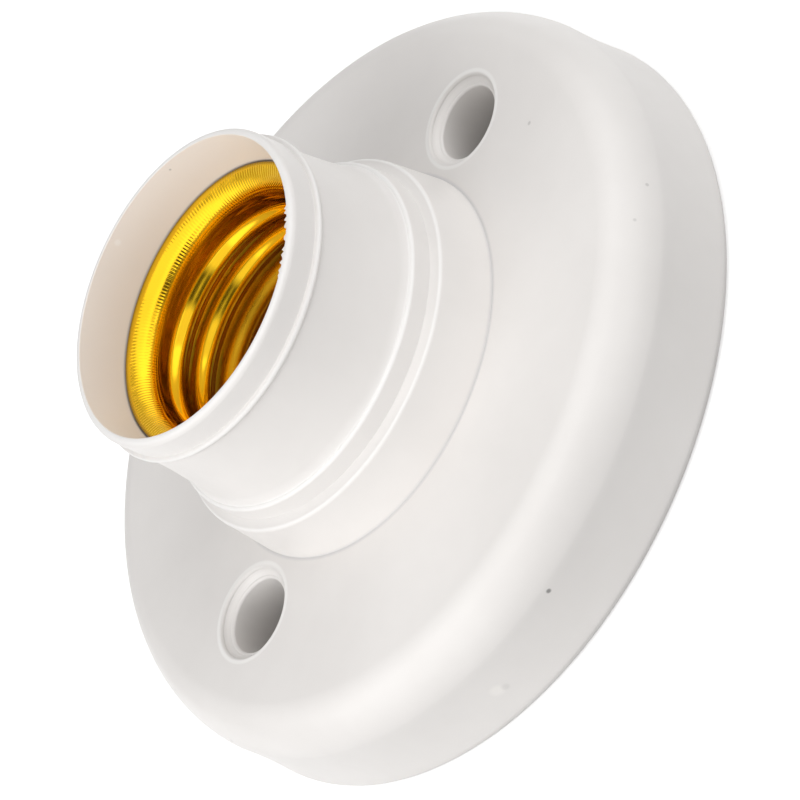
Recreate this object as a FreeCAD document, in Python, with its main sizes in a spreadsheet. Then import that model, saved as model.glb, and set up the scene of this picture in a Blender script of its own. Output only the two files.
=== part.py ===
import FreeCAD, Part
import math
import os

import Sketcher

# Surface-mount lamp holder: a moulded dish with a stepped barrel, a rolled screw shell,
# a sprung centre contact and two clamp terminals in the wiring space behind.
# The origin is the centre of the rear mounting plane, +Z runs along the barrel to the mouth,
# and the two fixing wells lie on the X axis.

# Driving dimensions in millimetres; "width" is a diameter or a full breadth.
SIZES = {
    "base_width": 83.5,
    "shoulder_width": 83.0,
    "dish_height": 14.5,
    "shoulder_round": 3.6,
    "shoulder_lower_round": 7.5,
    "skirt_curve": 60.0,
    "rear_edge_round": 1.2,
    "wall": 2.4,
    "collar_width": 42.6,
    "collar_top_width": 41.4,
    "collar_height": 6.55,
    "band_width": 38.7,
    "band_height": 2.6,
    "step_round": 0.5,
    "step_slope": 0.35,
    "barrel_root_width": 37.2,
    "barrel_top_width": 35.1,
    "barrel_curve": 60.0,
    "bead_width": 36.1,
    "bead_drop": 3.5,
    "bead_round": 0.4,
    "mouth_width": 35.1,
    "mouth_wall": 0.9,
    "rim_round": 0.7,
    "holder_height": 38.3,
    "lip_depth": 5.55,
    "lip_width": 31.6,
    "lip_clearance": 0.2,
    "flare_reach": 2.25,
    "flare_drop": 2.65,
    "sheet": 0.4,
    "shell_clearance": 0.35,
    "seat_bevel": 1.4,
    "thread_pitch": 3.629,
    "thread_minor": 24.9,
    "thread_depth": 0.8,
    "entry_length": 5.45,
    "rear_space": 5.4,
    "floor_thickness": 2.5,
    "well_spacing": 56.0,
    "well_mouth_width": 10.0,
    "well_mouth_depth": 0.85,
    "well_width": 8.2,
    "well_edge_round": 0.35,
    "well_floor": 3.0,
    "screw_hole": 4.5,
    "boss_wall": 2.0,
    "rivet_width": 3.0,
    "rivet_clearance": 0.1,
    "rivet_head_width": 5.0,
    "rivet_head_height": 0.9,
    "rivet_across": 16.0,
    "rivet_back": 4.7,
    "tab_width": 6.6,
    "contact_root": 7.0,
    "contact_width": 6.0,
    "contact_thickness": 0.5,
    "contact_pad": 6.4,
    "contact_rise": 3.6,
    "contact_tip": 2.4,
    "contact_curl": 1.0,
    "fold_round": 0.3,
    "terminal_reach": 26.0,
    "terminal_width": 8.0,
    "plate_thickness": 1.0,
    "plate_end": 5.0,
    "plate_lip": 3.0,
    "plate_corner": 1.0,
    "post_margin": 1.0,
    "terminal_screw": 3.5,
    "thread_clearance": 0.05,
    "screw_tip_room": 0.5,
    "screw_length": 6.0,
    "screw_head_width": 6.6,
    "screw_head_height": 2.0,
    "slot_width": 0.9,
    "slot_depth": 0.9,
    "washer_width": 7.2,
    "washer_thickness": 0.8,
    "washer_corner": 0.8,
}

# Degrees: how far the skirt leans in at its top, and where the shoulder's two rounds meet.
SKIRT_LEAN = 5
SHOULDER_JOINT = 40

doc = FreeCAD.newDocument("LampHolder")


def make_sheet():
    """Put the driving dimensions in a spreadsheet, one alias for each."""
    sheet = doc.addObject("Spreadsheet::Sheet", "Sizes")
    for row, (name, value) in enumerate(SIZES.items(), start=1):
        sheet.set(f"A{row}", name)
        sheet.set(f"B{row}", str(value))
        sheet.setAlias(f"B{row}", name)
    doc.recompute()


class Size:
    """A length that also knows the spreadsheet expression it comes from."""

    def __init__(self, value, text):
        self.value = value
        self.text = text

    def __add__(self, other):
        other = as_size(other)
        return Size(self.value + other.value, f"({self.text} + {other.text})")

    def __sub__(self, other):
        other = as_size(other)
        return Size(self.value - other.value, f"({self.text} - {other.text})")

    def __mul__(self, other):
        other = as_size(other)
        return Size(self.value * other.value, f"({self.text} * {other.text})")

    def __truediv__(self, other):
        other = as_size(other)
        return Size(self.value / other.value, f"({self.text} / {other.text})")

    def __neg__(self):
        return Size(-self.value, f"(0 - {self.text})")

    def root(self):
        return Size(math.sqrt(self.value), f"sqrt({self.text})")


def as_size(number):
    """Plain numbers join in as they are."""
    return number if isinstance(number, Size) else Size(float(number), str(number))


def size(name):
    return Size(SIZES[name], f"Sizes.{name}")


ZERO = as_size(0)

# Radii and levels that several pieces share.
roof = size("dish_height") - size("wall")
floor_top = size("rear_space") + size("floor_thickness")
root_r = size("thread_minor") / 2 + size("thread_depth")
bore_r = root_r + size("sheet") + size("shell_clearance")
lip_top = size("holder_height") - size("lip_depth")
ledge = lip_top - size("sheet")
flare_end = lip_top - size("flare_drop")
flare_bend = size("flare_reach") / 2 + size("flare_drop") * size("flare_drop") / size("flare_reach") / 2
flare_back = flare_bend - size("sheet")
flare_back_drop = size("flare_drop") - size("sheet")
flare_back_reach = (flare_back * flare_back - flare_back_drop * flare_back_drop).root()
flare_back_r = root_r + flare_bend - flare_back_reach
well_r = size("well_width") / 2
rivet_r = size("rivet_width") / 2
rivet_hole_r = rivet_r + size("rivet_clearance")
plate_under = size("rear_space") - size("plate_thickness")
post_end = size("terminal_reach") + size("plate_end") + size("post_margin")
screw_r = size("terminal_screw") / 2
rivet_places = {
    "contact_rivet": (ZERO, size("contact_root")),
    "shell_rivet_left": (-size("rivet_across") / 2, -size("rivet_back")),
    "shell_rivet_right": (size("rivet_across") / 2, -size("rivet_back")),
}


def make_body(label):
    body = doc.addObject("PartDesign::Body", label)
    body.Label = label
    return body


def make_sketch(body, name, plane, shift):
    """A sketch on one of the body's own origin planes, moved by shift in the plane's frame."""
    sketch = body.newObject("Sketcher::SketchObject", name)
    support = [item for item in body.Origin.OriginFeatures if item.Role == plane][0]
    sketch.AttachmentSupport = [(support, "")]
    sketch.MapMode = "FlatFace"
    start = [as_size(part) for part in shift]
    sketch.AttachmentOffset = FreeCAD.Placement(
        FreeCAD.Vector(*[part.value for part in start]), FreeCAD.Rotation())
    for axis, part in zip("xyz", start):
        if part.value:
            sketch.setExpression(f"AttachmentOffset.Base.{axis}", part.text)
    return sketch


def hold(sketch, edge, end, across, up):
    """Tie one vertex of an edge to its place, by the sheet's sizes."""
    for kind, part, axis_line in (("DistanceX", across, -2), ("DistanceY", up, -1)):
        if part.value == 0:
            sketch.addConstraint(Sketcher.Constraint("PointOnObject", edge, end, axis_line))
            continue
        number = sketch.addConstraint(
            Sketcher.Constraint(kind, -1, 1, edge, end, part.value))
        sketch.setExpression(f"Constraints[{number}]", part.text)


def arc_between(start, end, radius):
    """The short arc from start to end; it turns left for a positive radius, right for a negative."""
    middle = (start + end) * 0.5
    chord = end - start
    reach = math.sqrt(max(radius * radius - chord.Length ** 2 / 4, 0.0))
    left = FreeCAD.Vector(-chord.y, chord.x, 0).normalize()
    centre = middle + left * (reach if radius > 0 else -reach)
    first, last = (start, end) if radius > 0 else (end, start)
    angle_first = math.atan2(first.y - centre.y, first.x - centre.x)
    angle_last = math.atan2(last.y - centre.y, last.x - centre.x)
    if angle_last < angle_first:
        angle_last += 2 * math.pi
    circle = Part.Circle(centre, FreeCAD.Vector(0, 0, 1), abs(radius))
    return Part.ArcOfCircle(circle, angle_first, angle_last)


def outline(body, name, plane, corners, shift=(0, 0, 0)):
    """A closed outline. A corner is (across, up), or (across, up, radius) where an arc leaves it."""
    sketch = make_sketch(body, name, plane, shift)
    places = [(as_size(corner[0]), as_size(corner[1])) for corner in corners]
    points = [FreeCAD.Vector(across.value, up.value, 0) for across, up in places]
    ends = []
    for index, corner in enumerate(corners):
        start = points[index]
        end = points[(index + 1) % len(points)]
        if len(corner) == 3:
            radius = as_size(corner[2])
            edge = sketch.addGeometry(arc_between(start, end, radius.value), False)
            number = sketch.addConstraint(Sketcher.Constraint("Radius", edge, abs(radius.value)))
            sketch.setExpression(f"Constraints[{number}]", f"abs({radius.text})")
            ends.append((edge, 1, 2) if radius.value > 0 else (edge, 2, 1))
        else:
            edge = sketch.addGeometry(Part.LineSegment(start, end), False)
            ends.append((edge, 1, 2))
    for index, (edge, first, last) in enumerate(ends):
        before, _, before_last = ends[index - 1]
        sketch.addConstraint(Sketcher.Constraint("Coincident", before, before_last, edge, first))
        hold(sketch, edge, first, *places[index])
    return sketch


def circles(body, name, plane, rounds, shift=(0, 0, 0)):
    """Circles given as (across, up, radius)."""
    sketch = make_sketch(body, name, plane, shift)
    for across, up, radius in rounds:
        across, up, radius = as_size(across), as_size(up), as_size(radius)
        centre = FreeCAD.Vector(across.value, up.value, 0)
        circle = Part.Circle(centre, FreeCAD.Vector(0, 0, 1), radius.value)
        edge = sketch.addGeometry(circle, False)
        number = sketch.addConstraint(Sketcher.Constraint("Radius", edge, radius.value))
        sketch.setExpression(f"Constraints[{number}]", radius.text)
        hold(sketch, edge, 3, across, up)
    return sketch


def turn(body, name, sketch, kind="PartDesign::Revolution"):
    """A full turn of the outline about the sketch's upright axis."""
    feature = body.newObject(kind, name)
    feature.Profile = sketch
    feature.ReferenceAxis = (sketch, ["V_Axis"])
    feature.Angle = 360
    body.Tip = feature
    return feature


def extrude(body, name, sketch, length, kind="PartDesign::Pad", back=False, both=False):
    """A pad or pocket of the given length."""
    feature = body.newObject(kind, name)
    feature.Profile = sketch
    feature.Type = "Length"
    feature.Length = length.value
    feature.setExpression("Length", length.text)
    feature.Reversed = back
    if both:
        feature.SideType = "Symmetric"
    body.Tip = feature
    return feature


def opposite(body, name, features):
    """The same features again, half a turn round the upright axis."""
    pattern = body.newObject("PartDesign::PolarPattern", name)
    pattern.Originals = features
    axis = [item for item in body.Origin.OriginFeatures if item.Role == "Z_Axis"][0]
    pattern.Axis = (axis, [""])
    pattern.Angle = 360
    pattern.Occurrences = 2
    body.Tip = pattern
    return pattern


def mirrored(body, name, features):
    """The same features on the other side of the YZ plane."""
    mirror = body.newObject("PartDesign::Mirrored", name)
    mirror.Originals = features
    plane = [item for item in body.Origin.OriginFeatures if item.Role == "YZ_Plane"][0]
    mirror.MirrorPlane = (plane, [""])
    body.Tip = mirror
    return mirror


def box_corners(left, right, low, high):
    return [(left, low), (right, low), (right, high), (left, high)]


def place(body, across=ZERO, along=ZERO, up=ZERO):
    """Stand a piece that is modelled about its own origin where it is used."""
    spot = [as_size(across), as_size(along), as_size(up)]
    body.Placement = FreeCAD.Placement(
        FreeCAD.Vector(*[part.value for part in spot]), FreeCAD.Rotation())
    for axis, part in zip("xyz", spot):
        if part.value:
            body.setExpression(f"Placement.Base.{axis}", part.text)


def moulding_outline():
    """Half section of the one-piece dish and barrel, from the rear edge up and back inside."""
    base_r = size("base_width") / 2
    shoulder_r = size("shoulder_width") / 2
    upper = size("shoulder_round")
    lower = size("shoulder_lower_round")
    edge = size("rear_edge_round")
    top = size("dish_height")
    lean, turned = math.radians(SKIRT_LEAN), math.radians(SHOULDER_JOINT)
    joint_r = shoulder_r - lower * (math.cos(lean) - math.cos(turned))
    joint_z = top - upper * (1 - math.sin(turned))
    skirt_top = joint_z - lower * (math.sin(turned) - math.sin(lean))
    step = size("step_round")
    collar_top_r = size("collar_top_width") / 2
    collar_top = top + size("collar_height")
    band_r = size("band_width") / 2
    band_top = collar_top + size("band_height")
    bead_r = size("bead_width") / 2
    bead_z = size("holder_height") - size("bead_drop")
    bead = size("bead_round")
    mouth_r = size("mouth_width") / 2
    mouth_in_r = mouth_r - size("mouth_wall")
    rim = size("rim_round")
    height = size("holder_height")
    lip_r = size("lip_width") / 2
    hub_r = bore_r + size("wall")
    inner_round = (upper + lower) / 2 - size("wall")
    return [
        (base_r - edge, ZERO, edge),
        (base_r, edge, -size("skirt_curve")),
        (shoulder_r, skirt_top, lower),
        (joint_r, joint_z, upper),
        (joint_r - upper * math.cos(turned), top),
        (size("collar_width") / 2, top),
        (collar_top_r, collar_top - step, step),
        (collar_top_r - step, collar_top),
        (band_r, collar_top + size("step_slope")),
        (band_r, band_top - step, step),
        (band_r - step, band_top),
        (size("barrel_root_width") / 2, band_top + size("step_slope"), -size("barrel_curve")),
        (size("barrel_top_width") / 2, bead_z - bead),
        (bead_r, bead_z, bead),
        (bead_r - bead, bead_z + bead),
        (mouth_r, bead_z + bead * 2),
        (mouth_r, height - rim, rim),
        (mouth_r - rim, height),
        (mouth_in_r, height),
        (lip_r + size("lip_clearance"), ledge),
        (flare_back_r, ledge),
        (bore_r, ledge - size("seat_bevel")),
        (bore_r, floor_top),
        (ZERO, floor_top),
        (ZERO, size("rear_space")),
        (hub_r, size("rear_space")),
        (hub_r, roof),
        (shoulder_r - size("wall") - inner_round, roof, -inner_round),
        (shoulder_r - size("wall"), roof - inner_round),
        (base_r - size("wall"), ZERO),
    ]


def well_outline():
    """Half section of the space in one fixing well, about the well's own axis."""
    over = size("wall")
    rounded = size("well_edge_round")
    mouth_r = size("well_mouth_width") / 2
    shelf = size("dish_height") - size("well_mouth_depth")
    top = size("dish_height")
    hole_r = size("screw_hole") / 2
    return [
        (ZERO, -over),
        (hole_r, -over),
        (hole_r, size("well_floor")),
        (well_r, size("well_floor")),
        (well_r, shelf - rounded, -rounded),
        (well_r + rounded, shelf),
        (mouth_r, shelf),
        (mouth_r, top - rounded, -rounded),
        (mouth_r + rounded, top),
        (mouth_r + rounded, top + over),
        (ZERO, top + over),
    ]


def make_moulding():
    body = make_body("holder_body")
    turn(body, "DishAndBarrel", outline(body, "DishSection", "XZ_Plane", moulding_outline()))
    into_roof = roof + size("wall") / 2
    well_x = size("well_spacing") / 2
    boss = extrude(body, "WellBoss", circles(
        body, "BossCircle", "XY_Plane", [(well_x, ZERO, well_r + size("boss_wall"))]), into_roof)
    half_post = size("terminal_width") / 2 + size("post_margin")
    post = extrude(body, "TerminalPost", outline(
        body, "PostPlan", "XY_Plane", box_corners(-half_post, half_post, bore_r, post_end),
        (0, 0, size("rear_space"))), into_roof - size("rear_space"))
    well = turn(body, "Well", outline(
        body, "WellSection", "XZ_Plane", well_outline(), (well_x, 0, 0)), "PartDesign::Groove")
    tip_room = extrude(body, "ScrewTipHole", circles(
        body, "TipCircle", "XY_Plane",
        [(ZERO, size("terminal_reach"), screw_r + size("screw_tip_room"))],
        (0, 0, size("rear_space"))), size("screw_length"), "PartDesign::Pocket", back=True)
    opposite(body, "OtherSide", [boss, post, well, tip_room])
    holes = [(across, along, rivet_hole_r) for across, along in rivet_places.values()]
    extrude(body, "RivetHoles", circles(
        body, "RivetCircles", "XY_Plane", holes, (0, 0, floor_top)),
        size("floor_thickness"), "PartDesign::Pocket")
    return body


def shell_outline():
    """Half section of the rolled shell: lip, entry, then rounded rings at the thread's pitch."""
    pitch = size("thread_pitch")
    depth = size("thread_depth")
    sheet = size("sheet")
    lip_r = size("lip_width") / 2
    mean_r = root_r - depth / 2
    curve = (pitch * pitch / 16 + depth * depth / 4) / depth
    slant_up = sheet * pitch / 4 / curve
    slant_out = sheet * (curve - depth / 2) / curve
    outer_mean_r = mean_r + slant_out
    first = lip_top - size("entry_length")
    turns = int((first.value - pitch.value / 2 - floor_top.value) / pitch.value) + 1
    crests = [first - pitch * number for number in range(turns)]
    inner = [
        (lip_r, lip_top),
        (root_r + size("flare_reach"), lip_top, flare_bend),
        (root_r, flare_end),
        (root_r, first + pitch / 2, -curve),
    ]
    for crest in crests:
        inner.append((mean_r, crest + pitch / 4, curve))
        inner.append((mean_r, crest - pitch / 4, -curve))
    inner.append((root_r, crests[-1] - pitch / 2))
    inner.append((root_r, floor_top))
    outer = [
        (root_r + sheet, floor_top),
        (root_r + sheet, crests[-1] - pitch / 2, curve + sheet),
    ]
    for crest in reversed(crests):
        outer.append((outer_mean_r, crest - pitch / 4 + slant_up, sheet - curve))
        outer.append((outer_mean_r, crest + pitch / 4 - slant_up, curve + sheet))
    outer.append((root_r + sheet, first + pitch / 2))
    outer.append((root_r + sheet, flare_end, -flare_back))
    outer.append((flare_back_r, ledge))
    outer.append((lip_r, ledge))
    return inner + outer


def make_shell():
    body = make_body("screw_shell")
    turn(body, "RolledWall", outline(body, "ShellSection", "XZ_Plane", shell_outline()))
    across, back = rivet_places["shell_rivet_right"]
    half = size("tab_width") / 2
    reach_r = root_r + size("sheet") / 2
    low, high = back - half, back + half
    tab_plan = [
        (across - half, low),
        ((reach_r * reach_r - low * low).root(), low, reach_r),
        ((reach_r * reach_r - high * high).root(), high),
        (across - half, high),
    ]
    tab = extrude(body, "Tab", outline(
        body, "TabPlan", "XY_Plane", tab_plan, (0, 0, floor_top)), size("sheet"))
    hole = extrude(body, "TabHole", circles(
        body, "TabCircle", "XY_Plane", [(across, back, rivet_hole_r)],
        (0, 0, floor_top + size("sheet"))), size("sheet"), "PartDesign::Pocket")
    mirrored(body, "OtherTab", [tab, hole])
    return body


def soften(body, name, pick, radius):
    """Round the edges along X whose (along, up) places are listed."""
    doc.recompute()
    base = body.Tip
    names = []
    for number, edge in enumerate(base.Shape.Edges, start=1):
        ends = [vertex.Point for vertex in edge.Vertexes]
        if len(ends) != 2 or abs(ends[0].x - ends[1].x) < edge.Length - 1e-6:
            continue
        for along, up in pick:
            if abs(ends[0].y - along.value) < 1e-4 and abs(ends[0].z - up.value) < 1e-4:
                names.append(f"Edge{number}")
    fillet = body.newObject("PartDesign::Fillet", name)
    fillet.Base = (base, names)
    fillet.Radius = radius.value
    fillet.setExpression("Radius", radius.text)
    body.Tip = fillet
    return fillet


def make_contact():
    """Sprung tongue: a riveted pad, a slope up to the axis and a turned-down tip."""
    body = make_body("centre_contact")
    thick = size("contact_thickness")
    pad_out = size("contact_root") + size("contact_pad") / 2
    pad_in = size("contact_root") - size("contact_pad") / 2
    tip_half = size("contact_tip") / 2
    top = floor_top + size("contact_rise")
    slope = [pad_in - tip_half, size("contact_rise")]
    length = (slope[0] * slope[0] + slope[1] * slope[1]).root()
    shift = thick * (length - slope[0]) / slope[1]
    end = -(tip_half + size("contact_curl"))
    low_end = top - size("contact_curl")
    side = [
        (pad_out, floor_top),
        (pad_out, floor_top + thick),
        (pad_in + shift, floor_top + thick),
        (tip_half + shift, top + thick),
        (-tip_half, top + thick),
        (end, low_end + thick),
        (end, low_end),
        (-tip_half, top),
        (tip_half, top),
        (pad_in, floor_top),
    ]
    extrude(body, "Tongue", outline(body, "TongueSide", "YZ_Plane", side),
            size("contact_width"), both=True)
    extrude(body, "TongueHole", circles(
        body, "TongueCircle", "XY_Plane", [(ZERO, size("contact_root"), rivet_hole_r)],
        (0, 0, floor_top + thick)), thick, "PartDesign::Pocket")
    fold = size("fold_round")
    soften(body, "OuterFolds", [(pad_in, floor_top), side[3], side[4]], fold + thick)
    soften(body, "InnerFolds", [side[2], side[8], side[7]], fold)
    return body


def plate_side(near, far):
    """Side view of a terminal plate: flat under the floor, with its end folded to the rear."""
    under = plate_under
    fold = size("plate_thickness")
    return [
        (near, under),
        (far - fold, under),
        (far - fold, under - size("plate_lip")),
        (far, under - size("plate_lip")),
        (far, size("rear_space")),
        (near, size("rear_space")),
    ]


def finish_plate(body, side, rivet_spots, sign):
    """Round the fold and pierce the rivet holes and the screw hole."""
    thick = size("plate_thickness")
    fold = size("fold_round")
    soften(body, "OuterFold", [side[4]], fold + thick)
    soften(body, "InnerFold", [side[1]], fold)
    rounds = [(across, along, rivet_hole_r) for across, along in rivet_spots]
    screw_y = size("terminal_reach") * sign
    rounds.append((ZERO, screw_y, screw_r + size("thread_clearance")))
    extrude(body, "Holes", circles(body, "HoleCircles", "XY_Plane", rounds,
            (0, 0, size("rear_space"))), thick, "PartDesign::Pocket")


def make_live_terminal():
    body = make_body("live_terminal")
    near = size("contact_root") - size("terminal_width") / 2
    far = size("terminal_reach") + size("plate_end")
    side = plate_side(near, far)
    extrude(body, "Strip", outline(body, "StripSide", "YZ_Plane", side),
            size("terminal_width"), both=True)
    finish_plate(body, side, [rivet_places["contact_rivet"]], 1)
    return body


def make_neutral_terminal():
    body = make_body("neutral_terminal")
    half_bar = size("terminal_width") / 2
    back = size("rivet_back")
    near = half_bar - back
    far = -(size("terminal_reach") + size("plate_end"))
    fold = size("plate_thickness")
    under = plate_under
    side = [
        (near, under),
        (near, size("rear_space")),
        (far, size("rear_space")),
        (far, under - size("plate_lip")),
        (far + fold, under - size("plate_lip")),
        (far + fold, under),
    ]
    extrude(body, "Strip", outline(body, "StripSide", "YZ_Plane", side),
            size("terminal_width"), both=True)
    bar_half = size("rivet_across") / 2 + half_bar
    corner = size("plate_corner")
    low, high = -back - half_bar, near
    bar = [
        (-bar_half + corner, low),
        (bar_half - corner, low, corner),
        (bar_half, low + corner),
        (bar_half, high - corner, corner),
        (bar_half - corner, high),
        (-bar_half + corner, high, corner),
        (-bar_half, high - corner),
        (-bar_half, low + corner, corner),
    ]
    extrude(body, "Bar", outline(body, "BarPlan", "XY_Plane", bar, (0, 0, under)), fold)
    shell_spots = [rivet_places["shell_rivet_left"], rivet_places["shell_rivet_right"]]
    flipped = [None, side[5], None, None, side[2], None]
    finish_plate(body, flipped, shell_spots, -1)
    return body


def make_rivet(label, seat):
    """Domed rivet from the seat above the floor down to the terminal plate."""
    body = make_body(label)
    head_r = size("rivet_head_width") / 2
    head = size("rivet_head_height")
    above = seat - floor_top
    below = floor_top - plate_under
    dome = (head_r * head_r + head * head) / (head * 2)
    section = [
        (ZERO, -below - head),
        (rivet_r + head / 2, -below - head, head),
        (rivet_r + head + head / 2, -below),
        (rivet_r, -below),
        (rivet_r, above),
        (head_r, above, dome),
        (ZERO, above + head),
    ]
    turn(body, "Rivet", outline(body, "RivetSection", "XZ_Plane", section))
    across, along = rivet_places[label]
    place(body, across, along, floor_top)
    return body


def make_washer(label, along):
    """Square clamp washer between the screw head and the plate."""
    body = make_body(label)
    half = size("washer_width") / 2
    corner = size("washer_corner")
    plan = [
        (-half + corner, -half),
        (half - corner, -half, corner),
        (half, -half + corner),
        (half, half - corner, corner),
        (half - corner, half),
        (-half + corner, half, corner),
        (-half, half - corner),
        (-half, -half + corner, corner),
    ]
    thick = size("washer_thickness")
    extrude(body, "Square", outline(body, "SquarePlan", "XY_Plane", plan), thick)
    extrude(body, "Hole", circles(
        body, "HoleCircle", "XY_Plane", [(ZERO, ZERO, screw_r + size("rivet_clearance"))],
        (0, 0, thick)), thick, "PartDesign::Pocket")
    place(body, ZERO, along, plate_under - thick)
    return body


def make_screw(label, along):
    """Slotted cheese-head screw, driven from the rear; its origin is under the head."""
    body = make_body(label)
    head_r = size("screw_head_width") / 2
    head = size("screw_head_height")
    edge = size("step_round")
    section = [
        (ZERO, -head),
        (head_r - edge, -head, edge),
        (head_r, edge - head),
        (head_r, ZERO),
        (screw_r, ZERO),
        (screw_r, size("screw_length") - edge),
        (screw_r - edge, size("screw_length")),
        (ZERO, size("screw_length")),
    ]
    turn(body, "Screw", outline(body, "ScrewSection", "XZ_Plane", section))
    half_slot = size("slot_width") / 2
    slot = box_corners(-head_r, head_r, -half_slot, half_slot)
    extrude(body, "Slot", outline(body, "SlotPlan", "XY_Plane", slot, (0, 0, -head)),
            size("slot_depth"), "PartDesign::Pocket", back=True)
    place(body, ZERO, along, plate_under - size("washer_thickness"))
    return body


def check_and_write(bodies):
    """Every object computed, every piece one valid solid; then one file for each."""
    doc.recompute()
    for item in doc.Objects:
        if "Invalid" in item.State or "Error" in item.State:
            raise RuntimeError(f"{item.Label} did not compute: {item.State}")
    for body in bodies:
        shape = body.Shape
        if shape.isNull() or not shape.isValid() or len(shape.Solids) != 1:
            raise RuntimeError(f"{body.Label} is not one valid solid")
    os.makedirs("parts", exist_ok=True)
    for body in bodies:
        print(f"{body.Label}: {body.Shape.Volume:.1f} mm3")
        body.Shape.exportStep(f"parts/{body.Label}.step")


make_sheet()
reach = size("terminal_reach")
check_and_write([
    make_moulding(),
    make_shell(),
    make_contact(),
    make_live_terminal(),
    make_neutral_terminal(),
    make_rivet("contact_rivet", floor_top + size("contact_thickness")),
    make_rivet("shell_rivet_left", floor_top + size("sheet")),
    make_rivet("shell_rivet_right", floor_top + size("sheet")),
    make_washer("live_clamp_washer", reach),
    make_washer("neutral_clamp_washer", -reach),
    make_screw("live_terminal_screw", reach),
    make_screw("neutral_terminal_screw", -reach),
])
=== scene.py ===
import math
import random

import bmesh
import bpy
from mathutils import Matrix, Vector


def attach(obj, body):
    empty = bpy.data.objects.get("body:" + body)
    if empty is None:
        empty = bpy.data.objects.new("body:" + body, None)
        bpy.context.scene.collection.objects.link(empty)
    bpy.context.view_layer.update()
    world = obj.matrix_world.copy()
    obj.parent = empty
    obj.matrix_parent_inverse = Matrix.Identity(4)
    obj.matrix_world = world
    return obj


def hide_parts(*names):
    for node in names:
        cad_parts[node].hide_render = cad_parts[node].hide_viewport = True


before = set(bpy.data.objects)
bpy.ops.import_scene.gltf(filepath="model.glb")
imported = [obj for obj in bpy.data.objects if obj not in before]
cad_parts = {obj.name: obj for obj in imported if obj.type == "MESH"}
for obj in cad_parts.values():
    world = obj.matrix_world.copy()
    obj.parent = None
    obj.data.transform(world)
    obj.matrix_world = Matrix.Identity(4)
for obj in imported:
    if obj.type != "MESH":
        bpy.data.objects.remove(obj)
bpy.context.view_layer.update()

# Screw lamp holder: moulded dish and barrel, rolled brass shell, sprung contact, clamp terminals.
# Lengths are in millimetres until a mesh is made; +Z runs to the mouth, the wells lie on X.

MM = 0.001

# Sizes, the same as the solids'
WALL = 2.4
DISH_TOP = 14.5
ROOF = DISH_TOP - WALL
FLOOR_UNDER = 5.4
FLOOR_TOP = 7.9
BASE_R = 41.75
SHOULDER_R = 41.5
SHOULDER_UPPER = 3.6
SHOULDER_LOWER = 7.5
SKIRT_LEAN = 5
SKIRT_CURVE = 60
SHOULDER_JOINT = 40
REAR_EDGE = 1.2
COLLAR_R = 21.3
COLLAR_TOP_R = 20.7
COLLAR_TOP = 21.05
BAND_R = 19.35
BAND_TOP = 23.65
STEP_ROUND = 0.5
BAND_ROUND = 0.45
BARREL_LOW = (18.55, 24.1)
BARREL_HIGH_R = 17.58
BARREL_CURVE = 60
BEAD_R = 18.05
BEAD_Z = 34.8
BEAD_ROUND = 0.4
MOUTH_TOP = 38.3
MOUTH_R = 17.55
MOUTH_IN_R = 16.65
RIM_ROUND = 0.7
RIM_EDGE = 0.08
LIP_TOP = 32.75
LIP_R = 15.8
LIP_CLEARANCE = 0.2
LEDGE_IN_R = 15.534
SEAT_BEVEL = 1.4
SHEET = 0.4
FLARE_REACH = 2.25
FLARE_DROP = 2.65
ROOT_R = 13.25
BORE_R = 14.0
HUB_R = BORE_R + WALL
THREAD_DEPTH = 0.72
PITCH = 3.629
WELL_X = 28.0
WELL_R = 4.1
WELL_MOUTH_R = 5.0
WELL_MOUTH_DEPTH = 0.85
WELL_EDGE = 0.35
WELL_FLOOR = 3.0
SCREW_HOLE_R = 2.25
BOSS_WALL = 2.0
POST_HALF = 5.0
POST_END = 32.0
TAB_HALF = 3.3
TAB_END = 11.4
RIVET_HOLE_R = 1.6
RIVET_R = 1.5
RIVET_HEAD_R = 2.5
RIVET_HEAD = 0.9
# across, along, and the height of the seat under the upper head
RIVETS = {
    "contact_rivet": (0.0, 7.0, 8.4),
    "shell_rivet_left": (-8.0, -4.7, 8.3),
    "shell_rivet_right": (8.0, -4.7, 8.3),
}
PLATE_UNDER = 4.4
TERMINAL_Y = 26.0
SCREW_SEAT = 3.6
SCREW_HEAD = 2.0
SCREW_HEAD_R = 3.3
SCREW_R = 1.75
SCREW_CORE_R = 1.5
SCREW_TIP = 9.6
SCREW_PITCH = 0.6
SLOT_HALF = 0.45
SLOT_DEPTH = 0.9
TIP_HOLE_TOP = 11.4


# Mesh helpers
def arc(centre, radius, start, end, steps):
    """Points on an arc in the (r, z) plane, angles in degrees, both ends included."""
    turns = [math.radians(start + (end - start) * k / steps) for k in range(steps + 1)]
    return [(centre[0] + radius * math.cos(t), centre[1] + radius * math.sin(t)) for t in turns]


def bow(start, end, radius, steps):
    """Points strictly between start and end on a shallow arc that bends to the left of the way."""
    across, up = end[0] - start[0], end[1] - start[1]
    length = math.hypot(across, up)
    sag = radius - math.sqrt(radius * radius - length * length / 4)
    left = (-up / length, across / length)
    points = []
    for k in range(1, steps):
        t = k / steps
        push = 4 * sag * t * (1 - t)
        points.append((start[0] + across * t + left[0] * push, start[1] + up * t + left[1] * push))
    return points


def new_object(name, verts, faces):
    mesh = bpy.data.meshes.new(name)
    mesh.from_pydata([tuple(c * MM for c in v) for v in verts], [], faces)
    mesh.validate()
    obj = bpy.data.objects.new(name, mesh)
    bpy.context.scene.collection.objects.link(obj)
    return obj


def face_outwards(obj):
    mesh = bmesh.new()
    mesh.from_mesh(obj.data)
    bmesh.ops.recalc_face_normals(mesh, faces=mesh.faces)
    mesh.to_mesh(obj.data)
    mesh.free()


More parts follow.
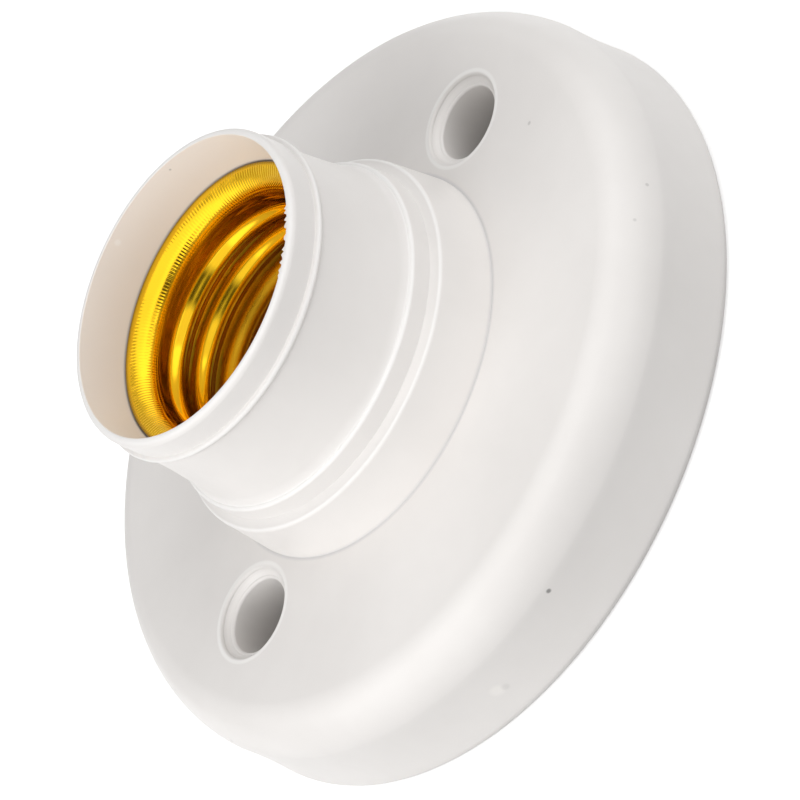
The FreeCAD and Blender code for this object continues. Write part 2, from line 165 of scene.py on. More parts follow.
def lathe(name, profile, segments, centre=(0.0, 0.0)):
    """A closed (r, z) profile turned about an upright axis; points on the axis become poles."""
    verts, rows = [], []
    for r, z in profile:
        if r < 1e-6:
            rows.append([len(verts)])
            verts.append((centre[0], centre[1], z))
            continue
        row = []
        for k in range(segments):
            t = 2 * math.pi * k / segments
            row.append(len(verts))
            verts.append((centre[0] + r * math.cos(t), centre[1] + r * math.sin(t), z))
        rows.append(row)
    faces = []
    for first, second in zip(rows, rows[1:] + rows[:1]):
        if len(first) == 1 and len(second) == 1:
            continue
        for k in range(segments):
            after = (k + 1) % segments
            if len(first) == 1:
                faces.append((first[0], second[after], second[k]))
            elif len(second) == 1:
                faces.append((first[k], first[after], second[0]))
            else:
                faces.append((first[k], first[after], second[after], second[k]))
    obj = new_object(name, verts, faces)
    face_outwards(obj)
    return obj


def cylinder_cut(obj, radius, low, high, x, y, segments=48):
    """Bore a plain hole through obj."""
    hole = [(0.0, low), (radius, low), (radius, high), (0.0, high)]
    carve(obj, lathe("hole", hole, segments, (x, y)), "DIFFERENCE")


def block(name, low, high):
    """An upright block between two corners."""
    (x0, y0, z0), (x1, y1, z1) = low, high
    verts = [(x, y, z) for z in (z0, z1) for x, y in ((x0, y0), (x1, y0), (x1, y1), (x0, y1))]
    faces = [(3, 2, 1, 0), (4, 5, 6, 7), (0, 1, 5, 4), (1, 2, 6, 5), (2, 3, 7, 6), (3, 0, 4, 7)]
    return new_object(name, verts, faces)


def carve(obj, tool, operation):
    """Boolean with a tool, which is then removed."""
    modifier = obj.modifiers.new("cut", "BOOLEAN")
    modifier.operation = operation
    modifier.solver = "MANIFOLD"
    modifier.object = tool
    bpy.context.view_layer.update()
    done = obj.evaluated_get(bpy.context.evaluated_depsgraph_get())
    mesh = bpy.data.meshes.new_from_object(done)
    obj.modifiers.remove(modifier)
    old = obj.data
    obj.data = mesh
    mesh.name = obj.name
    bpy.data.meshes.remove(old)
    bpy.data.objects.remove(tool)


def smooth(obj, angle=32, weighted=True):
    """Smooth shading with crisp edges above the angle; broad flat faces keep their own normal."""
    obj.data.shade_smooth()
    obj.data.set_sharp_from_angle(angle=math.radians(angle))
    if weighted:
        modifier = obj.modifiers.new("flat faces first", "WEIGHTED_NORMAL")
        modifier.keep_sharp = True
        modifier.weight = 80


def finish_piece(obj, material, node):
    obj.data.materials.clear()
    obj.data.materials.append(material)
    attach(obj, "root")
    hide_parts(node)


# Node material helpers
class Nodes:
    """Short calls for building one material's node tree."""

    def __init__(self, name):
        self.material = bpy.data.materials.new(name)
        self.material.use_nodes = True
        self.tree = self.material.node_tree
        self.shader = self.tree.nodes["Principled BSDF"]
        self.place = self.add("ShaderNodeTexCoord").outputs["Object"]

    def add(self, kind, **settings):
        node = self.tree.nodes.new(kind)
        for key, value in settings.items():
            setattr(node, key, value)
        return node

    def link(self, source, target):
        self.tree.links.new(source, target)

    def shade(self, name, source):
        """Drive one of the shader's sockets."""
        self.link(source, self.shader.inputs[name])

    def put(self, socket, value):
        if isinstance(value, bpy.types.NodeSocket):
            self.link(value, socket)
        else:
            socket.default_value = value

    def noise(self, scale, detail=2.0, roughness=0.5):
        """scale is in features per metre."""
        node = self.add("ShaderNodeTexNoise")
        self.link(self.place, node.inputs["Vector"])
        node.inputs["Scale"].default_value = scale
        node.inputs["Detail"].default_value = detail
        node.inputs["Roughness"].default_value = roughness
        return node.outputs["Fac"]

    def ramp(self, value, low, high, out_low=0.0, out_high=1.0):
        node = self.add("ShaderNodeMapRange", clamp=True)
        for name, item in (("Value", value), ("From Min", low), ("From Max", high),
                           ("To Min", out_low), ("To Max", out_high)):
            self.put(node.inputs[name], item)
        return node.outputs["Result"]

    def rise(self, value, start, end):
        """0 up to start and 1 from end, both in millimetres."""
        return self.ramp(value, start * MM, end * MM)

    def fall(self, value, start, end):
        """1 up to start and 0 from end, both in millimetres."""
        return self.ramp(value, start * MM, end * MM, 1.0, 0.0)

    def maths(self, operation, *values):
        node = self.add("ShaderNodeMath", operation=operation)
        for socket, value in zip(node.inputs, values):
            self.put(socket, value)
        return node.outputs[0]

    def product(self, first, *others):
        for other in others:
            first = self.maths("MULTIPLY", first, other)
        return first

    def largest(self, first, *others):
        for other in others:
            first = self.maths("MAXIMUM", first, other)
        return first

    def distance(self, x, y):
        """The length of a vector with two components."""
        return self.maths("SQRT", self.maths("ADD", self.product(x, x), self.product(y, y)))

    def mix(self, factor, first, second):
        node = self.add("ShaderNodeMix", data_type="RGBA")
        self.put(node.inputs["Factor"], factor)
        for name, colour in (("A", first), ("B", second)):
            socket = [s for s in node.inputs if s.name == name and s.type == "RGBA"][0]
            self.put(socket, colour if isinstance(colour, bpy.types.NodeSocket) else (*colour, 1.0))
        return [s for s in node.outputs if s.type == "RGBA"][0]

    def parts(self):
        node = self.add("ShaderNodeSeparateXYZ")
        self.link(self.place, node.inputs[0])
        return node.outputs

    def bump(self, height, distance, strength=1.0, after=None):
        node = self.add("ShaderNodeBump")
        node.inputs["Strength"].default_value = strength
        node.inputs["Distance"].default_value = distance
        self.link(height, node.inputs["Height"])
        if after:
            self.link(after, node.inputs["Normal"])
        return node.outputs["Normal"]

    def spot(self, centre, radius, soft=0.35):
        """1 within radius of a point, falling to 0 over a soft edge, in millimetres."""
        node = self.add("ShaderNodeVectorMath", operation="DISTANCE")
        self.link(self.place, node.inputs[0])
        node.inputs[1].default_value = [c * MM for c in centre]
        return self.fall(node.outputs["Value"], radius * (1 - soft), radius * (1 + soft))


# Moulded body
FLASH_SEED = 7
FLASH_STEPS = (0.0, 0.05, 0.15, 0.28, 0.38)
FLASH_FROM = -76
FLASH_TO = -48


def moulding_profile():
    """Half section from the rear edge up the outside, over the mouth and down inside."""
    rear = arc((BASE_R - REAR_EDGE, REAR_EDGE), REAR_EDGE, -90, 0, 8)
    lean, turned = math.radians(SKIRT_LEAN), math.radians(SHOULDER_JOINT)
    low_r = SHOULDER_R - SHOULDER_LOWER * math.cos(lean)
    joint_r = low_r + SHOULDER_LOWER * math.cos(turned)
    joint_z = DISH_TOP - SHOULDER_UPPER * (1 - math.sin(turned))
    low_z = joint_z - SHOULDER_LOWER * math.sin(turned)
    high_r = joint_r - SHOULDER_UPPER * math.cos(turned)
    high_z = DISH_TOP - SHOULDER_UPPER
    shoulder = arc((low_r, low_z), SHOULDER_LOWER, SKIRT_LEAN, SHOULDER_JOINT, 14)
    shoulder += arc((high_r, high_z), SHOULDER_UPPER, SHOULDER_JOINT, 90, 14)[1:]
    inner = (SHOULDER_UPPER + SHOULDER_LOWER) / 2 - WALL
    collar = arc((COLLAR_TOP_R - STEP_ROUND, COLLAR_TOP - STEP_ROUND), STEP_ROUND, 3, 90, 8)
    band = arc((BAND_R - BAND_ROUND, BAND_TOP - BAND_ROUND), BAND_ROUND, 3, 90, 8)
    barrel_high = (BARREL_HIGH_R, BEAD_Z - BEAD_ROUND - 0.02)
    bead = arc((BEAD_R - BEAD_ROUND, BEAD_Z), BEAD_ROUND, -48, 90, 8)
    rim_out = arc((MOUTH_R - RIM_ROUND, MOUTH_TOP - RIM_ROUND), RIM_ROUND, 0, 90, 10)
    rim_in = arc((MOUTH_IN_R + RIM_EDGE, MOUTH_TOP - RIM_EDGE), RIM_EDGE, 90, 180, 3)
    inner_shoulder = arc((SHOULDER_R - WALL - inner, ROOF - inner), inner, 90, 0, 12)
    ledge = LIP_TOP - SHEET
    return (
        rear + bow(rear[-1], shoulder[0], SKIRT_CURVE, 14) + shoulder
        + [(36.3, DISH_TOP), (COLLAR_R + 0.6, DISH_TOP), (COLLAR_R, DISH_TOP)]
        + collar + [(BAND_R + 0.15, COLLAR_TOP + 0.4)] + band + [BARREL_LOW]
        + bow(BARREL_LOW, barrel_high, BARREL_CURVE, 16) + [barrel_high]
        + bead + [(MOUTH_R + 0.03, BEAD_Z + 0.43), (MOUTH_R, BEAD_Z + 0.8)]
        + rim_out + rim_in
        + [(LIP_R + LIP_CLEARANCE, ledge), (LEDGE_IN_R, ledge), (BORE_R, ledge - SEAT_BEVEL),
           (BORE_R, FLOOR_TOP), (0.0, FLOOR_TOP), (0.0, FLOOR_UNDER), (HUB_R, FLOOR_UNDER),
           (HUB_R, ROOF)]
        + inner_shoulder + [(BASE_R - WALL, 0.0)]
    )


def well_profile():
    shelf = DISH_TOP - WELL_MOUTH_DEPTH
    above = DISH_TOP + 2.0
    brim_r = WELL_MOUTH_R + WELL_EDGE
    return (
        [(0.0, -2.0), (SCREW_HOLE_R, -2.0), (SCREW_HOLE_R, WELL_FLOOR), (WELL_R, WELL_FLOOR)]
        + arc((WELL_R + WELL_EDGE, shelf - WELL_EDGE), WELL_EDGE, 180, 90, 6)
        + arc((brim_r, DISH_TOP - WELL_EDGE), WELL_EDGE, 180, 90, 6)
        + [(brim_r, above), (0.0, above)]
    )


def ragged_rim(body):
    """A short run of torn flash along the inner edge of the mouth."""
    chance = random.Random(FLASH_SEED)
    push = {}
    for vert in body.data.vertices:
        x, y, z = (c / MM for c in vert.co)
        reach = math.hypot(x, y)
        turn = math.degrees(math.atan2(y, x))
        on_edge = z > MOUTH_TOP - 0.3 and reach < MOUTH_IN_R + 0.1
        if on_edge and FLASH_FROM < turn < FLASH_TO:
            key = round(turn)
            if key not in push:
                push[key] = chance.choice(FLASH_STEPS)
            shrink = 1 - push[key] / reach
            vert.co.x *= shrink
            vert.co.y *= shrink


def make_moulding():
    body = lathe("moulding", moulding_profile(), 360)
    ragged_rim(body)
    boss_r = WELL_R + BOSS_WALL
    into_roof = ROOF + 1.0
    for side in (-1, 1):
        boss = [(0.0, 0.0), (boss_r, 0.0), (boss_r, into_roof), (0.0, into_roof)]
        carve(body, lathe("boss", boss, 96, (side * WELL_X, 0.0)), "UNION")
        y0, y1 = sorted((side * BORE_R, side * POST_END))
        post = block("post", (-POST_HALF, y0, FLOOR_UNDER), (POST_HALF, y1, into_roof))
        carve(body, post, "UNION")
    for side in (-1, 1):
        carve(body, lathe("well", well_profile(), 128, (side * WELL_X, 0.0)), "DIFFERENCE")
        cylinder_cut(body, SCREW_HOLE_R, 4.0, TIP_HOLE_TOP, 0.0, side * TERMINAL_Y)
    for x, y, _ in RIVETS.values():
        cylinder_cut(body, RIVET_HOLE_R, 4.0, 9.0, x, y)
    smooth(body)
    return body


# Small marks on the moulding: centre, radius, strength, tone
SPECKS = (
    ((-14.47, -38.92, 8.41), 0.26, 0.75, 0.12),
    ((-25.77, -32.69, 5.0), 0.75, 0.30, 1.0),
    ((-25.1, -33.3, 4.6), 0.45, 0.20, 0.45),
    ((29.64, -11.92, 14.5), 0.22, 0.35, 0.25),
    ((27.59, -30.49, 10.83), 0.20, 0.30, 0.25),
    ((23.62, -32.87, 12.22), 0.18, 0.25, 0.25),
    ((-41.19, -0.14, 10.62), 0.22, 0.40, 0.20),
    ((2.07, 16.35, 37.25), 0.35, 0.45, 1.0),
    ((11.04, 12.26, 37.38), 0.14, 0.45, 0.25),
)
# Painted highlights along the edges of the rim, bead, band and collar: inner radius, lower and upper
# height, strength
EDGE_HIGHLIGHTS = (
    (16.75, 38.1, 40.0, 0.4),
    (17.9, 34.8, 35.1, 0.35),
    (18.85, 23.4, 23.9, 0.5),
    (20.4, 20.85, 21.3, 0.5),
)
# Painted highlight for the edges, painted reflection of the brass, painted shade for the lip seat,
# bores, shelves and collar foot, and painted highlight for the well brims
EDGE_HIGHLIGHT_TONE = (0.97, 0.965, 0.955)
BRASS_REFLECTION_TINT = (0.98, 0.86, 0.74)
SHADE = (0.25, 0.22, 0.20)
BORE_SHADE = (0.30, 0.28, 0.26)
SHELF_SHADE = (0.45, 0.43, 0.41)
BRIM_HIGHLIGHT = (0.95, 0.94, 0.92)
FOOT_SHADE = (0.50, 0.50, 0.52)


def plastic():
    """Warm white moulded plastic: faint mottling, orange peel and the odd speck, with painted
    highlights on the edges and well brims, painted shade in the lip seat, bores, shelves and collar
    foot, and a painted reflection of the brass inside the mouth.
    """
    n = Nodes("moulded plastic")
    cloud = n.noise(45, 4, 0.6)
    fine = n.noise(900, 3, 0.55)
    base = n.mix(n.ramp(cloud, 0.35, 0.65), (0.792, 0.766, 0.744), (0.832, 0.806, 0.784))
    x, y, z = n.parts()
    radius = n.distance(x, y)
    inside = n.product(n.fall(radius, 16.65, 16.72), n.rise(z, 31.2, 31.6))
    # painted reflection: the inner wall of the mouth is warmed as if by light off the brass shell,
    # more strongly deeper down
    depth = n.ramp(z, 32.6 * MM, 38.0 * MM, 0.80, 0.50)
    base = n.mix(n.product(inside, depth), base, BRASS_REFLECTION_TINT)
    # painted highlights along the rim, bead, band and collar edges
    highlight_rings = [
        n.product(n.rise(radius, inner - 0.1, inner + 0.1), n.rise(z, low - 0.1, low + 0.1),
                  n.fall(z, high - 0.1, high + 0.1), strength)
        for inner, low, high, strength in EDGE_HIGHLIGHTS
    ]
    base = n.mix(n.largest(*highlight_rings), base, EDGE_HIGHLIGHT_TONE)
    seat = n.product(inside, n.fall(z, 32.6, 32.9), 0.7)
    base = n.mix(seat, base, SHADE)
    aside = n.maths("SUBTRACT", n.maths("ABSOLUTE", x), WELL_X * MM)
    from_well = n.distance(aside, y)
    front = n.rise(z, 13.2, 13.5)
    bore = n.product(n.fall(from_well, 4.12, 4.18), n.rise(z, 2.5, 2.9),
                     n.ramp(z, 8.5 * MM, 13.8 * MM, 0.45, 0.0))
    base = n.mix(bore, base, BORE_SHADE)
    shelf = n.product(n.rise(from_well, 4.7, 5.0), n.fall(from_well, 5.1, 5.3), front, 0.22)
    base = n.mix(shelf, base, SHELF_SHADE)
    # painted highlight round the brim of each well
    brim_highlight = n.product(n.rise(from_well, 5.2, 5.4), n.fall(from_well, 5.6, 5.8), front, 0.6)
    base = n.mix(brim_highlight, base, BRIM_HIGHLIGHT)
    foot = n.product(n.rise(radius, 21.1, 21.3), n.fall(radius, 21.4, 21.7),
                     n.fall(z, 14.5, 14.9), front, 0.4)
    base = n.mix(foot, base, FOOT_SHADE)
    for centre, size, strength, tone in SPECKS:
        mark = n.product(n.spot(centre, size), strength)
        base = n.mix(mark, base, (tone, tone * 0.97, tone * 0.93))
    n.shade("Base Color", base)
    n.shade("Roughness", n.ramp(fine, 0.3, 0.7, 0.34, 0.42))
    n.shader.inputs["IOR"].default_value = 1.49
    wave = n.bump(cloud, 0.00012, 0.35)
    n.shade("Normal", n.bump(fine, 0.00003, 0.4, wave))
    return n.material


# Rolled screw shell
FIRST_CREST = 27.3
FIRST_CREST_TURN = 87.6
THREAD_FADE_LOW = (8.7, 9.9)
THREAD_FADE_HIGH = (28.6, 29.8)


def fade(value, low, high):
    t = min(max((value - low) / (high - low), 0.0), 1.0)
    return t * t * (3 - 2 * t)


def shell_radius(angle, z):
    """Inner radius of the rolled wall, with a right-handed thread that runs out at both ends."""
    turned = angle - math.radians(FIRST_CREST_TURN)
    crest = FIRST_CREST + PITCH * turned / (2 * math.pi)
    strength = fade(z, *THREAD_FADE_LOW) * (1 - fade(z, *THREAD_FADE_HIGH))
    wave = abs(math.cos(math.pi * (z - crest) / PITCH)) ** 3
    return ROOT_R - THREAD_DEPTH * wave * strength


def shell_inner_rows(turns):
    """Rows of (r, z) round the shell's inside: flat lip, flare, then the threaded wall."""
    bend = (FLARE_REACH * FLARE_REACH + FLARE_DROP * FLARE_DROP) / (2 * FLARE_REACH)
    start = 180 - math.degrees(math.asin(FLARE_DROP / bend))
    flare_end = LIP_TOP - FLARE_DROP
    flare = arc((ROOT_R + bend, flare_end), bend, start, 180, 14)
    rows = [[place] * turns for place in [(LIP_R, LIP_TOP), (LIP_R - 0.03, LIP_TOP)] + flare]
    step = PITCH / 28
    heights = []
    z = flare_end
    while z - step > FLOOR_TOP:
        z -= step
        heights.append(z)
    heights.append(FLOOR_TOP)
    for z in heights:
        rows.append([(shell_radius(2 * math.pi * k / turns, z), z) for k in range(turns)])
    return rows


def make_shell():
    turns = 192
    inner = shell_inner_rows(turns)
    outer = []
    last = len(inner) - 1
    for i, row in enumerate(inner):
        above, below = inner[max(i - 1, 0)], inner[min(i + 1, last)]
        new = []
        for k, (r, z) in enumerate(row):
            dr, dz = below[k][0] - above[k][0], below[k][1] - above[k][1]
            length = math.hypot(dr, dz) or 1.0
            new.append((r - dz / length * SHEET, z + dr / length * SHEET))
        outer.append(new)
    outer[-1] = [(r + SHEET, FLOOR_TOP) for r, _ in inner[-1]]
    outer[0] = [(LIP_R, LIP_TOP - SHEET) for _ in inner[0]]
    rows = inner + outer[::-1]
    verts = []
    for row in rows:
        for k, (r, z) in enumerate(row):
            t = 2 * math.pi * k / turns
            verts.append((r * math.cos(t), r * math.sin(t), z))
    faces = []
    for i in range(len(rows)):
        j = (i + 1) % len(rows)
        for k in range(turns):
            m = (k + 1) % turns
            faces.append((i * turns + k, i * turns + m, j * turns + m, j * turns + k))
    shell = new_object("rolled_shell", verts, faces)
    face_outwards(shell)
    across, back, _ = RIVETS["shell_rivet_right"]
    for side in (-1, 1):
        x0, x1 = sorted((side * (across - TAB_HALF), side * TAB_END))
        tab = block("tab", (x0, back - TAB_HALF, FLOOR_TOP), (x1, back + TAB_HALF, FLOOR_TOP + SHEET))
        carve(shell, tab, "UNION")
        cylinder_cut(shell, RIVET_HOLE_R, 7.0, 9.5, side * across, back)
    smooth(shell, 50, False)
    return shell


# Metals
# Painted shade for the deeper thread, then painted shade at the outer edge of the lip
DEEP_SHADE_BRASS = (0.45, 0.22, 0.01)
LIP_SHADE = (0.22, 0.13, 0.02)
TICKS_A_TURN = 240.0
TICK_DEPTH = 0.02


def brass(name, colour, rough, marks=0.0):
    """Rolled brass; marks adds the shell's serrated flare, painted shade at the outer edge of its
    lip, and rougher brass with painted shade deeper in the thread.
    """
    n = Nodes(name)
    streak = n.noise(260, 3, 0.6)
    tone = n.noise(90, 3, 0.5)
    deep = tuple(c * 0.86 for c in colour)
    base = n.mix(n.ramp(tone, 0.35, 0.7), colour, deep)
    polish = n.ramp(streak, 0.3, 0.7, rough * 0.8, rough * 1.3)
    n.shader.inputs["Metallic"].default_value = 1.0
    normal = n.bump(streak, 0.00002, 0.3)
    if marks:
        x, y, z = n.parts()
        # rougher brass with painted shade deeper in the shell
        dull_and_shade = n.product(n.fall(z, 20.5, 23.6), n.ramp(z, 15.0 * MM, 17.0 * MM, 0.45, 1.0))
        base = n.mix(n.product(dull_and_shade, 0.85), base, DEEP_SHADE_BRASS)
        polish = n.maths("ADD", polish, n.product(dull_and_shade, 0.16))
        # painted shade at the outer edge of the lip, by the gap to the seat
        lip = n.product(n.rise(n.distance(x, y), 15.4, 15.7), 0.7)
        base = n.mix(lip, base, LIP_SHADE)
        ticks = n.maths("SINE", n.product(n.maths("ARCTAN2", y, x), TICKS_A_TURN))
        uneven = n.ramp(n.noise(420, 2, 0.6), 0.35, 0.65, 0.3, 1.0)
        height = n.product(ticks, uneven, n.rise(z, 30.3, 30.9))
        normal = n.bump(height, TICK_DEPTH * MM, marks, normal)
    n.shade("Base Color", base)
    n.shade("Roughness", polish)
    n.shade("Normal", normal)
    return n.material


def steel():
    n = Nodes("plated steel")
    grain = n.noise(700, 3, 0.6)
    n.shade("Base Color", n.mix(n.ramp(grain, 0.3, 0.7), (0.62, 0.62, 0.61), (0.52, 0.52, 0.51)))
    n.shader.inputs["Metallic"].default_value = 1.0
    n.shade("Roughness", n.ramp(grain, 0.3, 0.7, 0.24, 0.38))
    n.shade("Normal", n.bump(grain, 0.00002, 0.3))
    return n.material


# Rivets and screws
def make_rivet(name):
    """Domed rivet, with its lower head rounded over under the plate."""
    x, y, seat = RIVETS[name]
    dome = (RIVET_HEAD_R * RIVET_HEAD_R + RIVET_HEAD * RIVET_HEAD) / (2 * RIVET_HEAD)
    half = math.degrees(math.asin(RIVET_HEAD_R / dome))
    cap = arc((0.0, seat + RIVET_HEAD - dome), dome, 90 - half, 90, 10)
    lower = arc((RIVET_R + RIVET_HEAD / 2, PLATE_UNDER), RIVET_HEAD, -90, 0, 8)
    profile = [(0.0, PLATE_UNDER - RIVET_HEAD)] + lower
    profile += [(RIVET_R, PLATE_UNDER), (RIVET_R, seat)] + cap
    rivet = lathe(name.replace("_rivet", "_rivet_piece"), profile, 64, (x, y))
    smooth(rivet, 40)
    return rivet


def make_screw(name, y):
    """Slotted cheese head with a cut thread on the shank."""
    turns = 64
    root_r, sunk_r = 1.45, 1.4
    edge = 0.5
    under = SCREW_SEAT - SCREW_HEAD
    profile = [(0.0, under), (SCREW_HEAD_R - edge, under)]
    profile += arc((SCREW_HEAD_R - edge, under + edge), edge, -90, 0, 6)[1:]
    profile += [(SCREW_HEAD_R, SCREW_SEAT), (SCREW_CORE_R, SCREW_SEAT),
                (SCREW_CORE_R, SCREW_TIP - edge), (SCREW_CORE_R - 0.3, SCREW_TIP), (0.0, SCREW_TIP)]
    core = lathe(name, profile, turns, (0.0, y))
    slot = block("slot", (-4.0, y - SLOT_HALF, under - 1.0), (4.0, y + SLOT_HALF, under + SLOT_DEPTH))
    carve(core, slot, "DIFFERENCE")
    verts, faces = [], []
    start = SCREW_SEAT + 0.1
    count = int((SCREW_TIP - edge - start) / SCREW_PITCH * turns)
    for k in range(count + 1):
        t = 2 * math.pi * k / turns
        z = start + SCREW_PITCH * k / turns
        grow = min(1.0, k / 20, (count - k) / 20)
        crest = root_r + (SCREW_R - root_r) * max(grow, 0.05)
        for r, share in ((sunk_r, 0.0), (sunk_r, 0.9), (crest, 0.5), (crest, 0.4)):
            verts.append((r * math.cos(t), y + r * math.sin(t), z + SCREW_PITCH * share))
    for k in range(count):
        a, b = 4 * k, 4 * (k + 1)
        for first, second in ((0, 1), (1, 2), (2, 3), (3, 0)):
            faces.append((a + first, a + second, b + second, b + first))
    faces.append((0, 3, 2, 1))
    faces.append((4 * count, 4 * count + 1, 4 * count + 2, 4 * count + 3))
    ridge = new_object("ridge", verts, faces)
    face_outwards(ridge)
    carve(core, ridge, "UNION")
    smooth(core, 35)
    return core


# The pieces and their materials
plastic_material = plastic()
shell_brass = brass("shell brass", (0.95, 0.57, 0.02), 0.12, 0.7)
contact_brass = brass("contact brass", (0.86, 0.66, 0.30), 0.28)
plate_brass = brass("terminal brass", (0.82, 0.62, 0.28), 0.33)
rivet_brass = brass("rivet brass", (0.80, 0.60, 0.26), 0.36)
plated = steel()

finish_piece(make_moulding(), plastic_material, "holder_body")
finish_piece(make_shell(), shell_brass, "screw_shell")
for rivet_name in RIVETS:
    finish_piece(make_rivet(rivet_name), rivet_brass, rivet_name)
for screw_name, along in (("live", TERMINAL_Y), ("neutral", -TERMINAL_Y)):
    screw = make_screw(screw_name + "_screw_piece", along)
    finish_piece(screw, plated, screw_name + "_terminal_screw")

KEPT = {
    "centre_contact": contact_brass,
    "live_terminal": plate_brass,
    "neutral_terminal": plate_brass,
    "live_clamp_washer": plated,
    "neutral_clamp_washer": plated,
}
for node_name, material in KEPT.items():
    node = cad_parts[node_name]
    for place in node.material_slots:
        place.material = material
    edge = node.modifiers.new("softened edges", "BEVEL")
    edge.width = 0.1 * MM
    edge.segments = 2
    edge.limit_method = "ANGLE"
    edge.angle_limit = math.radians(40)
    edge.harden_normals = False


# Floor, tent, lights and camera; angles in degrees, azimuth 0 towards -Y and 90 towards +X
WHITE = (1.0, 1.0, 1.0, 1.0)
BLACK = (0.0, 0.0, 0.0, 1.0)
FLOOR_REACH = 4000.0
FLOOR_Z = -0.05
FLOOR_GLOW = 0.4
SKY_GLOW = 0.25
TENT_R = 1200.0
TENT_GLOW = 1.7
TENT_DIM = 0.07
TENT_LOW = 6.0
TENT_CROWN = 0.78
TENT_CROWN_SPAN = (40.0, 62.0)
TENT_GAP = (-24.0, 14.0)
TENT_GAP_TOP = 40.0
TENT_SEAM = (-50.0, 50.0)
TENT_SEAM_LOW = 24.0
TENT_SEAM_TONE = 0.6
TENT_BACK = 0.35
TENT_BACK_SPAN = (106.0, 128.0)
TENT_BACK_TOP = 66.0
TENT_EDGE = 2.0
TENT_SPILL = 0.4
AIM = Vector((0.0, 0.0, 0.015))
LIGHT_AWAY = 0.6
LIGHT_WIDTH = 0.33
LENS = 360.0
CAMERA_AT = (-0.030268, -0.694143, 0.478266)
CAMERA_RIGHT = Vector((0.38991, -0.52768, -0.75466))
CAMERA_DOWN = Vector((-0.92021, -0.19272, -0.34069))
# name, azimuth, elevation, power
LIGHTS = (
    ("left low front", -50, 15, 0.95),
    ("left low side", -90, 12, 0.73),
    ("left high front", -42, 45, 0.61),
    ("left high side", -90, 45, 0.69),
    ("right low front", 45, 15, 0.84),
    ("right low side", 90, 12, 0.63),
    ("right high front", 34, 45, 0.41),
    ("right high side", 90, 45, 0.45),
    ("front high", -7, 62, 0.24),
    ("overhead", 0, 88, 0.13),
    ("back high", 180, 55, 0.05),
    ("back left", -140, 30, 0.09),
    ("back right", 140, 30, 0.05),
)


def make_floor():
    """Pale floor that lights nothing but reflections, so the sky alone fills from below."""
    corners = ((-1, -1), (1, -1), (1, 1), (-1, 1))
    verts = [(x * FLOOR_REACH, y * FLOOR_REACH, FLOOR_Z) for x, y in corners]
    floor = new_object("studio_floor", verts, [(0, 1, 2, 3)])
    n = Nodes("pale floor")
    n.shade("Base Color", n.mix(n.noise(3, 2), (0.93, 0.93, 0.93), (0.95, 0.95, 0.95)))
    n.shader.inputs["Roughness"].default_value = 0.8
    n.shader.inputs["Emission Color"].default_value = WHITE
    n.shader.inputs["Emission Strength"].default_value = FLOOR_GLOW
    floor.data.materials.append(n.material)
    floor.visible_diffuse = False
    floor.visible_shadow = False


def tent_fabric():
    """Glowing fabric with a gap in front, dimmer seams beside it, and a dim back."""
    n = Nodes("tent fabric")
    x, y, z = n.parts()
    azimuth = n.maths("ARCTAN2", x, n.maths("MULTIPLY", y, -1.0))
    height = n.maths("ARCSINE", n.maths("DIVIDE", z, TENT_R * MM))
    soft = math.radians(TENT_EDGE)

    def outside(first, last):
        start, end, wide = math.radians(first), math.radians(last), 3 * soft
        return n.largest(n.ramp(azimuth, start - wide, start + wide, 1.0, 0.0),
                         n.ramp(azimuth, end - wide, end + wide))

    def higher(level, below=0.0, above=1.0):
        edge = math.radians(level)
        return n.ramp(height, edge - soft, edge + soft, below, above)

    gap = n.largest(outside(*TENT_GAP), higher(TENT_GAP_TOP))
    seam = n.largest(outside(*TENT_SEAM), higher(TENT_GAP_TOP),
                     higher(TENT_SEAM_LOW, 1.0, TENT_SEAM_TONE))
    crown = n.ramp(height, *(math.radians(a) for a in TENT_CROWN_SPAN), 1.0, TENT_CROWN)
    back = n.ramp(n.maths("ABSOLUTE", azimuth), *(math.radians(a) for a in TENT_BACK_SPAN),
                  1.0, TENT_BACK)
    back = n.largest(back, higher(TENT_BACK_TOP))
    bright = n.product(gap, seam, crown, back, higher(TENT_LOW))
    n.shader.inputs["Base Color"].default_value = BLACK
    n.shader.inputs["Emission Color"].default_value = WHITE
    depth = n.add("ShaderNodeLightPath").outputs["Diffuse Depth"]
    spill = n.ramp(depth, 0.0, 1.0, 1.0, TENT_SPILL)
    n.shade("Emission Strength", n.product(n.ramp(bright, 0.0, 1.0, TENT_DIM, TENT_GLOW), spill))
    n.material.cycles.emission_sampling = "NONE"
    return n.material


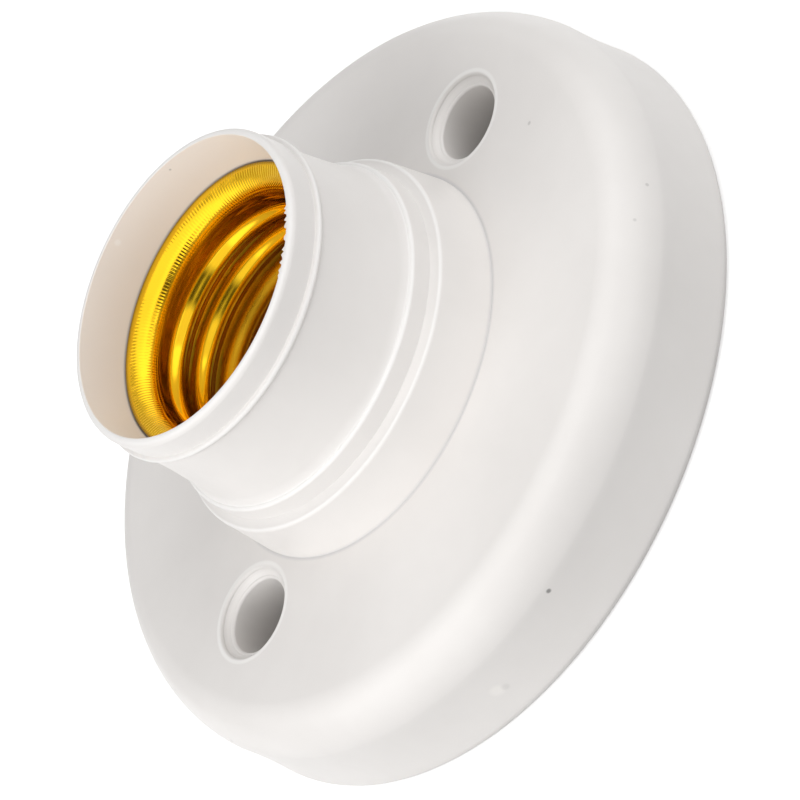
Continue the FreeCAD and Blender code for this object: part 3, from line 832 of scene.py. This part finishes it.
def make_tent():
    """Bright fabric dome that only polished surfaces mirror."""
    profile = arc((0.0, 0.0), TENT_R, -4, 90, 47)
    verts = []
    turns = 96
    for r, z in profile[:-1]:
        for k in range(turns):
            t = 2 * math.pi * k / turns
            verts.append((r * math.cos(t), r * math.sin(t), z))
    verts.append((0.0, 0.0, TENT_R))
    faces = []
    for i in range(len(profile) - 2):
        for k in range(turns):
            m = (k + 1) % turns
            faces.append((i * turns + k, i * turns + m, (i + 1) * turns + m, (i + 1) * turns + k))
    top = (len(profile) - 2) * turns
    faces += [(top + k, top + (k + 1) % turns, len(verts) - 1) for k in range(turns)]
    tent = new_object("studio_tent", verts, faces)
    tent.data.materials.append(tent_fabric())
    tent.visible_camera = False
    tent.visible_diffuse = False
    tent.visible_transmission = False
    tent.visible_shadow = False


def make_sky():
    """Even soft light from all round."""
    world = bpy.data.worlds.new("studio")
    world.use_nodes = True
    background = world.node_tree.nodes["Background"]
    background.inputs["Color"].default_value = WHITE
    background.inputs["Strength"].default_value = SKY_GLOW
    bpy.context.scene.world = world


def add_light(name, azimuth, elevation, power):
    """Square soft light aimed at the part."""
    light = bpy.data.lights.new(name, "AREA")
    light.size = LIGHT_WIDTH
    light.energy = power
    obj = bpy.data.objects.new(name, light)
    a, e = math.radians(azimuth), math.radians(elevation)
    away = Vector((math.sin(a) * math.cos(e), -math.cos(a) * math.cos(e), math.sin(e)))
    obj.location = away * LIGHT_AWAY + AIM
    obj.rotation_euler = (-away).to_track_quat("-Z", "Y").to_euler()
    obj.visible_camera = False
    obj.visible_glossy = False
    bpy.context.scene.collection.objects.link(obj)


def make_camera():
    data = bpy.data.cameras.new("camera")
    data.lens = LENS
    data.clip_start = 0.01
    data.clip_end = 20.0
    camera = bpy.data.objects.new("camera", data)
    ahead = CAMERA_RIGHT.cross(CAMERA_DOWN)
    turn = Matrix((CAMERA_RIGHT, -CAMERA_DOWN, -ahead)).transposed()
    camera.matrix_world = Matrix.Translation(CAMERA_AT) @ turn.to_4x4()
    bpy.context.scene.collection.objects.link(camera)
    bpy.context.scene.camera = camera


make_floor()
make_tent()
for light_row in LIGHTS:
    add_light(*light_row)
make_camera()
make_sky()
bpy.context.scene.view_settings.view_transform = "Standard"
